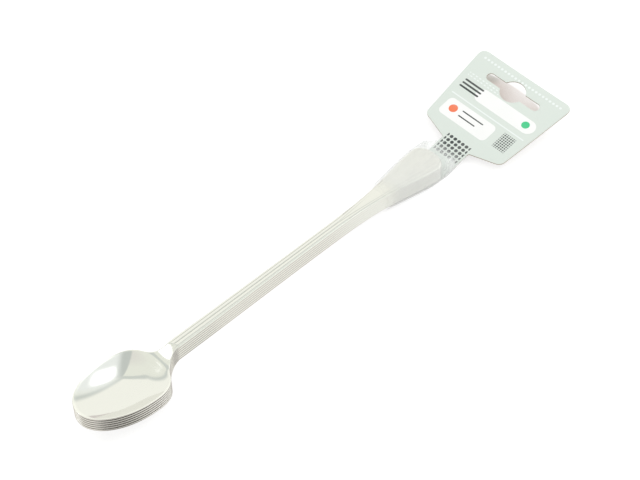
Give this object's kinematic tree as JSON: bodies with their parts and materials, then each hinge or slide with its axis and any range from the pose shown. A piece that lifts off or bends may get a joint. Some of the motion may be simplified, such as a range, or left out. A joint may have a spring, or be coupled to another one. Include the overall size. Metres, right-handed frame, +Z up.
{
  "type": "iced tea spoon set",
  "caption": "Nested long-handled spoons with oval bowls and thread-patterned flared ends, held by clear shrink film with a slotted card hang tag.",
  "frame": {"origin": "middle of the footprint, on the surface it lies on", "axes": "+X from the bowls to the tag, +Z up"},
  "size_m": [0.2578, 0.0524, 0.018],
  "materials": {
    "steel": "polished stainless steel",
    "film": "clear shrink film",
    "card": "coated card"
  },
  "bodies": {
    "held_end": {"spoon_1": "steel", "film_sleeve": "film", "tag_tongue": "card"},
    "tag": {"tag_panel": "card"},
    "lifted_spoon_2": {"spoon_2": "steel"},
    "lifted_spoon_3": {"spoon_3": "steel"},
    "lifted_spoon_4": {"spoon_4": "steel"},
    "lifted_spoon_5": {"spoon_5": "steel"},
    "lifted_spoon_6": {"spoon_6": "steel"}
  },
  "joints": [
    {"name": "tag_flex", "type": "hinge", "parent": "held_end", "child": "tag", "pos_m": [0.08206, 0, 0.0031], "axis": [0, -1, 0], "range_deg": [-12, 70], "stiffness_Nm_per_rad": 0.02},
    {"name": "spoon_2_lift", "type": "hinge", "parent": "held_end", "child": "lifted_spoon_2", "pos_m": [0.06806, 0, 0.0025], "axis": [0, 1, 0], "range_deg": [0, 0.3]},
    {"name": "spoon_3_lift", "type": "hinge", "parent": "lifted_spoon_2", "child": "lifted_spoon_3", "pos_m": [0.06806, 0, 0.0039], "axis": [0, 1, 0], "range_deg": [0, 0.3]},
    {"name": "spoon_4_lift", "type": "hinge", "parent": "lifted_spoon_3", "child": "lifted_spoon_4", "pos_m": [0.06806, 0, 0.0053], "axis": [0, 1, 0], "range_deg": [0, 0.3]},
    {"name": "spoon_5_lift", "type": "hinge", "parent": "lifted_spoon_4", "child": "lifted_spoon_5", "pos_m": [0.06806, 0, 0.0067], "axis": [0, 1, 0], "range_deg": [0, 0.3]},
    {"name": "spoon_6_lift", "type": "hinge", "parent": "lifted_spoon_5", "child": "lifted_spoon_6", "pos_m": [0.06806, 0, 0.0081], "axis": [0, 1, 0], "range_deg": [0, 0.3]}
  ]
}
